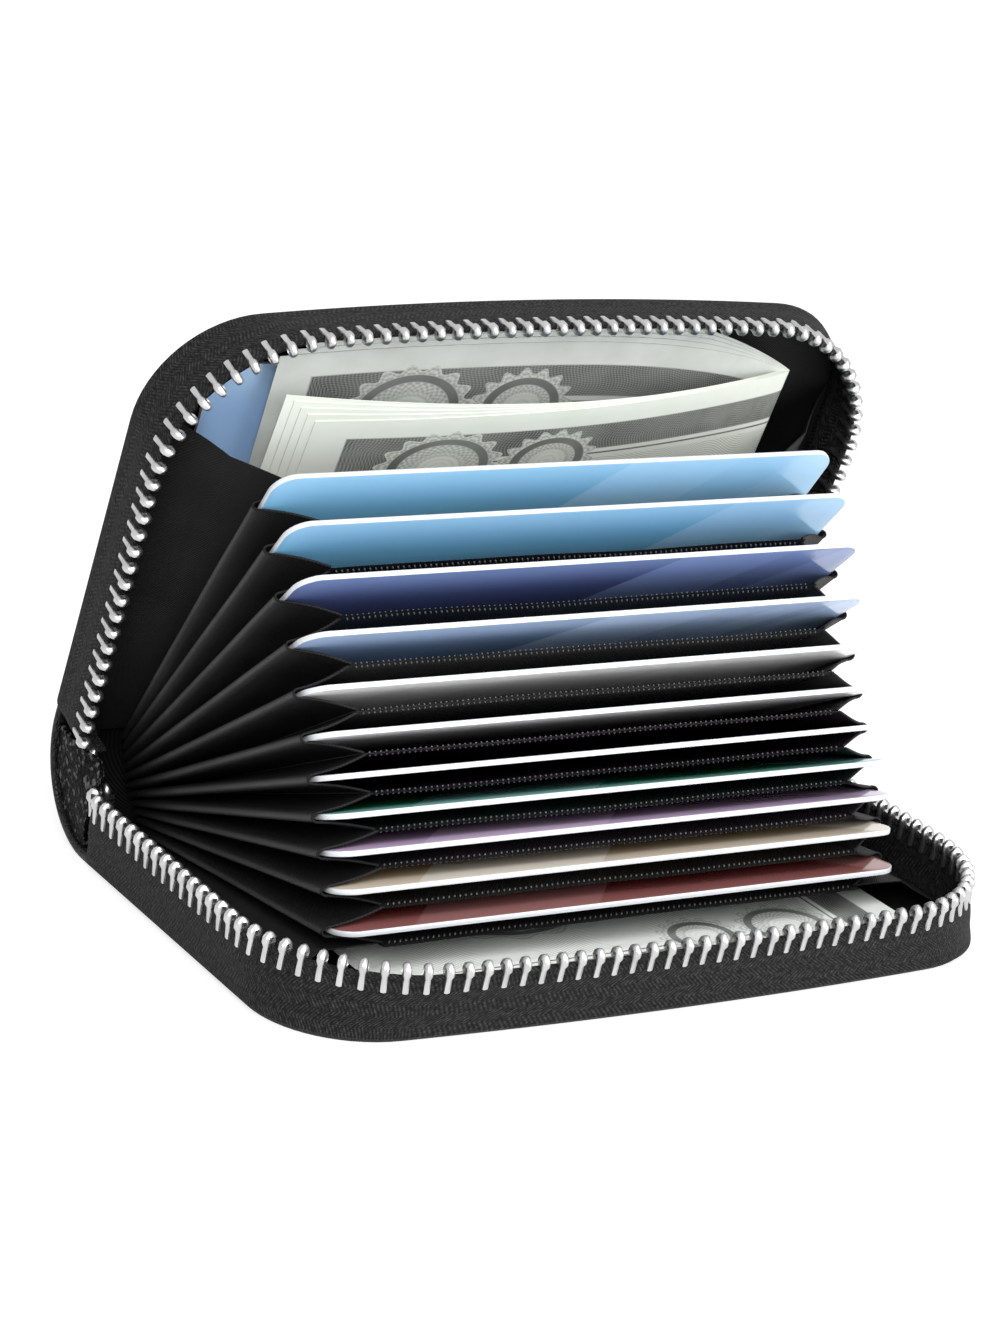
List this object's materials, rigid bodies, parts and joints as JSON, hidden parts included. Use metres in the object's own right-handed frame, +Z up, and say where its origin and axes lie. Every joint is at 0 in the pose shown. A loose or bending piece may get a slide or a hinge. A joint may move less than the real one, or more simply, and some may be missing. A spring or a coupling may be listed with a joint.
{
  "type": "zip around card wallet",
  "caption": "Zip around card wallet, open like a clam, with an accordion of card slots, a paper pocket on each cover and a metal zip along three sides",
  "frame": {"origin": "the middle of the bottom cover's outer face, which lies on the surface", "axes": "+Z up, X along the spine, the mouth towards -Y"},
  "size_m": [0.1135, 0.0822, 0.0779],
  "materials": {
    "leather_black": "grained black leather",
    "board_grey": "grey stiffening board",
    "lining_black": "black satin lining",
    "tape_black": "herringbone zip tape",
    "teeth_silver": "polished silver metal",
    "accordion_black": "black ribbed satin",
    "paper_green": "pale green-grey printed paper",
    "card_sky": "glossy sky blue",
    "card_navy": "glossy navy",
    "card_steel": "glossy steel blue",
    "card_white": "glossy white",
    "card_purple": "glossy dark purple",
    "card_green": "glossy dark green",
    "card_lilac": "glossy lilac",
    "card_tan": "glossy tan",
    "card_maroon": "glossy maroon",
    "card_periwinkle": "glossy periwinkle"
  },
  "bodies": {
    "bottom_cover": {"bottom_cover_leather": "leather_black", "bottom_cover_board": "board_grey", "bottom_cover_lining": "lining_black", "lower_zip_tape": "tape_black", "lower_zip_teeth": "teeth_silver", "lower_notes": "paper_green"},
    "spine": {"spine_leather": "leather_black", "accordion_root_strip": "accordion_black", "spine_end_left": "leather_black", "spine_end_right": "leather_black", "zip_tail": "tape_black"},
    "top_cover": {"top_cover_leather": "leather_black", "top_cover_board": "board_grey", "top_cover_lining": "lining_black", "upper_zip_tape": "tape_black", "upper_zip_teeth": "teeth_silver", "upper_notes": "paper_green"},
    "tucked_card": {"tucked_card": "card_periwinkle"},
    "zip_slider": {"slider_body": "teeth_silver", "pull_pin": "teeth_silver"},
    "zip_pull": {"pull_tab": "teeth_silver"},
    "divider_01": {"divider_01": "accordion_black", "upper_pocket_gusset": "accordion_black"},
    "divider_02": {"divider_02": "accordion_black"},
    "divider_03": {"divider_03": "accordion_black"},
    "divider_04": {"divider_04": "accordion_black"},
    "divider_05": {"divider_05": "accordion_black"},
    "divider_06": {"divider_06": "accordion_black"},
    "divider_07": {"divider_07": "accordion_black"},
    "divider_08": {"divider_08": "accordion_black"},
    "divider_09": {"divider_09": "accordion_black"},
    "divider_10": {"divider_10": "accordion_black"},
    "divider_11": {"divider_11": "accordion_black"},
    "divider_12": {"divider_12": "accordion_black", "lower_pocket_gusset": "accordion_black"},
    "slot_01": {"slot_gusset_01": "accordion_black"},
    "card_01": {"card_01": "card_sky"},
    "slot_02": {"slot_gusset_02": "accordion_black"},
    "card_02": {"card_02": "card_sky"},
    "slot_03": {"slot_gusset_03": "accordion_black"},
    "card_03": {"card_03": "card_navy"},
    "slot_04": {"slot_gusset_04": "accordion_black"},
    "card_04": {"card_04": "card_steel"},
    "slot_05": {"slot_gusset_05": "accordion_black"},
    "card_05": {"card_05": "card_white"},
    "slot_06": {"slot_gusset_06": "accordion_black"},
    "card_06": {"card_06": "card_white"},
    "slot_07": {"slot_gusset_07": "accordion_black"},
    "card_07": {"card_07": "card_purple"},
    "slot_08": {"slot_gusset_08": "accordion_black"},
    "card_08": {"card_08": "card_green"},
    "slot_09": {"slot_gusset_09": "accordion_black"},
    "card_09": {"card_09": "card_lilac"},
    "slot_10": {"slot_gusset_10": "accordion_black"},
    "card_10": {"card_10": "card_tan"},
    "slot_11": {"slot_gusset_11": "accordion_black"},
    "card_11": {"card_11": "card_maroon"}
  },
  "joints": [
    {"name": "spine_fold", "type": "hinge", "parent": "bottom_cover", "child": "spine", "pos_m": [0, 0.03277, 0.0006], "axis": [-1, 0, 0], "range_deg": [-35.6, 5]},
    {"name": "top_fold", "type": "hinge", "parent": "spine", "child": "top_cover", "pos_m": [0, 0.04407, 0.01637], "axis": [-1, 0, 0], "range_deg": [-35.6, 5], "deforming": ["upper_notes"]},
    {"name": "divider_01_fan", "type": "hinge", "parent": "spine", "child": "divider_01", "pos_m": [0, 0.04318, 0.0131], "axis": [-1, 0, 0], "range_deg": [-20.62, 2.91], "deforming": ["upper_pocket_gusset"]},
    {"name": "divider_02_fan", "type": "hinge", "parent": "spine", "child": "divider_02", "pos_m": [0, 0.04268, 0.01193], "axis": [-1, 0, 0], "range_deg": [-15.62, 2.21]},
    {"name": "divider_03_fan", "type": "hinge", "parent": "spine", "child": "divider_03", "pos_m": [0, 0.04227, 0.0107], "axis": [-1, 0, 0], "range_deg": [-10.02, 1.42]},
    {"name": "divider_04_fan", "type": "hinge", "parent": "spine", "child": "divider_04", "pos_m": [0, 0.04186, 0.00947], "axis": [-1, 0, 0], "range_deg": [-4.42, 0.64]},
    {"name": "divider_05_fan", "type": "hinge", "parent": "spine", "child": "divider_05", "pos_m": [0, 0.04137, 0.0083], "axis": [-1, 0, 0], "range_deg": [-0.16, 1.02]},
    {"name": "divider_06_fan", "type": "hinge", "parent": "spine", "child": "divider_06", "pos_m": [0, 0.04072, 0.00723], "axis": [-1, 0, 0], "range_deg": [-0.86, 6.02]},
    {"name": "divider_07_fan", "type": "hinge", "parent": "spine", "child": "divider_07", "pos_m": [0, 0.0399, 0.0063], "axis": [-1, 0, 0], "range_deg": [-1.5, 10.57]},
    {"name": "divider_08_fan", "type": "hinge", "parent": "spine", "child": "divider_08", "pos_m": [0, 0.03894, 0.00546], "axis": [-1, 0, 0], "range_deg": [-2.08, 14.67]},
    {"name": "divider_09_fan", "type": "hinge", "parent": "spine", "child": "divider_09", "pos_m": [0, 0.03789, 0.00468], "axis": [-1, 0, 0], "range_deg": [-2.61, 18.47]},
    {"name": "divider_10_fan", "type": "hinge", "parent": "spine", "child": "divider_10", "pos_m": [0, 0.03687, 0.00389], "axis": [-1, 0, 0], "range_deg": [-3.14, 22.22]},
    {"name": "divider_11_fan", "type": "hinge", "parent": "spine", "child": "divider_11", "pos_m": [0, 0.03594, 0.00303], "axis": [-1, 0, 0], "range_deg": [-3.71, 26.27]},
    {"name": "divider_12_fan", "type": "hinge", "parent": "spine", "child": "divider_12", "pos_m": [0, 0.03517, 0.00206], "axis": [-1, 0, 0], "range_deg": [-4.26, 30.22], "deforming": ["lower_pocket_gusset"]},
    {"name": "slot_01_fan", "type": "hinge", "parent": "spine", "child": "slot_01", "pos_m": [0, 0.04291, 0.01253], "axis": [-1, 0, 0], "range_deg": [-18.32, 2.59], "deforming": ["slot_gusset_01"]},
    {"name": "card_01_slide", "type": "slide", "parent": "slot_01", "child": "card_01", "axis": [0, -0.5892, 0.808], "range_m": [-0.00361, 0.03639]},
    {"name": "slot_02_fan", "type": "hinge", "parent": "spine", "child": "slot_02", "pos_m": [0, 0.04247, 0.01132], "axis": [-1, 0, 0], "range_deg": [-12.82, 1.82], "deforming": ["slot_gusset_02"]},
    {"name": "card_02_slide", "type": "slide", "parent": "slot_02", "child": "card_02", "axis": [0, -0.6639, 0.7478], "range_m": [-0.0038, 0.0362]},
    {"name": "slot_03_fan", "type": "hinge", "parent": "spine", "child": "slot_03", "pos_m": [0, 0.04207, 0.01008], "axis": [-1, 0, 0], "range_deg": [-7.22, 1.03], "deforming": ["slot_gusset_03"]},
    {"name": "card_03_slide", "type": "slide", "parent": "slot_03", "child": "card_03", "axis": [0, -0.7337, 0.6794], "range_m": [-0.00304, 0.03696]},
    {"name": "slot_04_fan", "type": "hinge", "parent": "spine", "child": "slot_04", "pos_m": [0, 0.04163, 0.00887], "axis": [-1, 0, 0], "range_deg": [-1.72, 0.26], "deforming": ["slot_gusset_04"]},
    {"name": "card_04_slide", "type": "slide", "parent": "slot_04", "child": "card_04", "axis": [0, -0.7955, 0.606], "range_m": [-0.00152, 0.03848]},
    {"name": "slot_05_fan", "type": "hinge", "parent": "spine", "child": "slot_05", "pos_m": [0, 0.04107, 0.00775], "axis": [-1, 0, 0], "range_deg": [-0.53, 3.62], "deforming": ["slot_gusset_05"]},
    {"name": "card_05_slide", "type": "slide", "parent": "slot_05", "child": "card_05", "axis": [0, -0.848, 0.5299], "range_m": [0, 0.04]},
    {"name": "slot_06_fan", "type": "hinge", "parent": "spine", "child": "slot_06", "pos_m": [0, 0.04033, 0.00675], "axis": [-1, 0, 0], "range_deg": [-1.2, 8.42], "deforming": ["slot_gusset_06"]},
    {"name": "card_06_slide", "type": "slide", "parent": "slot_06", "child": "card_06", "axis": [0, -0.8894, 0.4571], "range_m": [0, 0.04]},
    {"name": "slot_07_fan", "type": "hinge", "parent": "spine", "child": "slot_07", "pos_m": [0, 0.03943, 0.00587], "axis": [-1, 0, 0], "range_deg": [-1.8, 12.72], "deforming": ["slot_gusset_07"]},
    {"name": "card_07_slide", "type": "slide", "parent": "slot_07", "child": "card_07", "axis": [0, -0.9212, 0.3891], "range_m": [0, 0.04]},
    {"name": "slot_08_fan", "type": "hinge", "parent": "spine", "child": "slot_08", "pos_m": [0, 0.03842, 0.00507], "axis": [-1, 0, 0], "range_deg": [-2.35, 16.62], "deforming": ["slot_gusset_08"]},
    {"name": "card_08_slide", "type": "slide", "parent": "slot_08", "child": "card_08", "axis": [0, -0.9455, 0.3256], "range_m": [0, 0.04]},
    {"name": "slot_09_fan", "type": "hinge", "parent": "spine", "child": "slot_09", "pos_m": [0, 0.03737, 0.00429], "axis": [-1, 0, 0], "range_deg": [-2.87, 20.32], "deforming": ["slot_gusset_09"]},
    {"name": "card_09_slide", "type": "slide", "parent": "slot_09", "child": "card_09", "axis": [0, -0.9646, 0.2639], "range_m": [0, 0.04]},
    {"name": "slot_10_fan", "type": "hinge", "parent": "spine", "child": "slot_10", "pos_m": [0, 0.03639, 0.00347], "axis": [-1, 0, 0], "range_deg": [-3.4, 24.12], "deforming": ["slot_gusset_10"]},
    {"name": "card_10_slide", "type": "slide", "parent": "slot_10", "child": "card_10", "axis": [0, -0.9799, 0.1994], "range_m": [0, 0.04]},
    {"name": "slot_11_fan", "type": "hinge", "parent": "spine", "child": "slot_11", "pos_m": [0, 0.03554, 0.00256], "axis": [-1, 0, 0], "range_deg": [-4.01, 28.42], "deforming": ["slot_gusset_11"]},
    {"name": "card_11_slide", "type": "slide", "parent": "slot_11", "child": "card_11", "axis": [0, -0.9921, 0.1253], "range_m": [0, 0.009]},
    {"name": "tucked_card_slide", "type": "slide", "parent": "top_cover", "child": "tucked_card", "axis": [0, -0.3223, 0.9466], "range_m": [0, 0.004]},
    {"name": "slider_run", "type": "slide", "parent": "spine", "child": "zip_slider", "axis": [0, -0.8131, 0.5821], "range_m": [0, 0.006]},
    {"name": "pull_swing", "type": "hinge", "parent": "zip_slider", "child": "zip_pull", "pos_m": [0.05725, 0.03419, 0.01151], "axis": [0, -0.5821, -0.8131], "range_deg": [0, 165]}
  ],
  "couplings": [
    {"joint": "top_fold", "follows": "spine_fold", "ratio": 1},
    {"joint": "divider_01_fan", "follows": "spine_fold", "ratio": 0.57865},
    {"joint": "divider_02_fan", "follows": "spine_fold", "ratio": 0.4382},
    {"joint": "divider_03_fan", "follows": "spine_fold", "ratio": 0.2809},
    {"joint": "divider_04_fan", "follows": "spine_fold", "ratio": 0.1236},
    {"joint": "divider_05_fan", "follows": "spine_fold", "ratio": -0.02809},
    {"joint": "divider_06_fan", "follows": "spine_fold", "ratio": -0.16854},
    {"joint": "divider_07_fan", "follows": "spine_fold", "ratio": -0.29635},
    {"joint": "divider_08_fan", "follows": "spine_fold", "ratio": -0.41152},
    {"joint": "divider_09_fan", "follows": "spine_fold", "ratio": -0.51826},
    {"joint": "divider_10_fan", "follows": "spine_fold", "ratio": -0.6236},
    {"joint": "divider_11_fan", "follows": "spine_fold", "ratio": -0.73736},
    {"joint": "divider_12_fan", "follows": "spine_fold", "ratio": -0.84832},
    {"joint": "slot_01_fan", "follows": "spine_fold", "ratio": 0.51404},
    {"joint": "slot_02_fan", "follows": "spine_fold", "ratio": 0.35955},
    {"joint": "slot_03_fan", "follows": "spine_fold", "ratio": 0.20225},
    {"joint": "slot_04_fan", "follows": "spine_fold", "ratio": 0.047753},
    {"joint": "slot_05_fan", "follows": "spine_fold", "ratio": -0.10112},
    {"joint": "slot_06_fan", "follows": "spine_fold", "ratio": -0.23595},
    {"joint": "slot_07_fan", "follows": "spine_fold", "ratio": -0.35674},
    {"joint": "slot_08_fan", "follows": "spine_fold", "ratio": -0.46629},
    {"joint": "slot_09_fan", "follows": "spine_fold", "ratio": -0.57022},
    {"joint": "slot_10_fan", "follows": "spine_fold", "ratio": -0.67697},
    {"joint": "slot_11_fan", "follows": "spine_fold", "ratio": -0.79775}
  ]
}
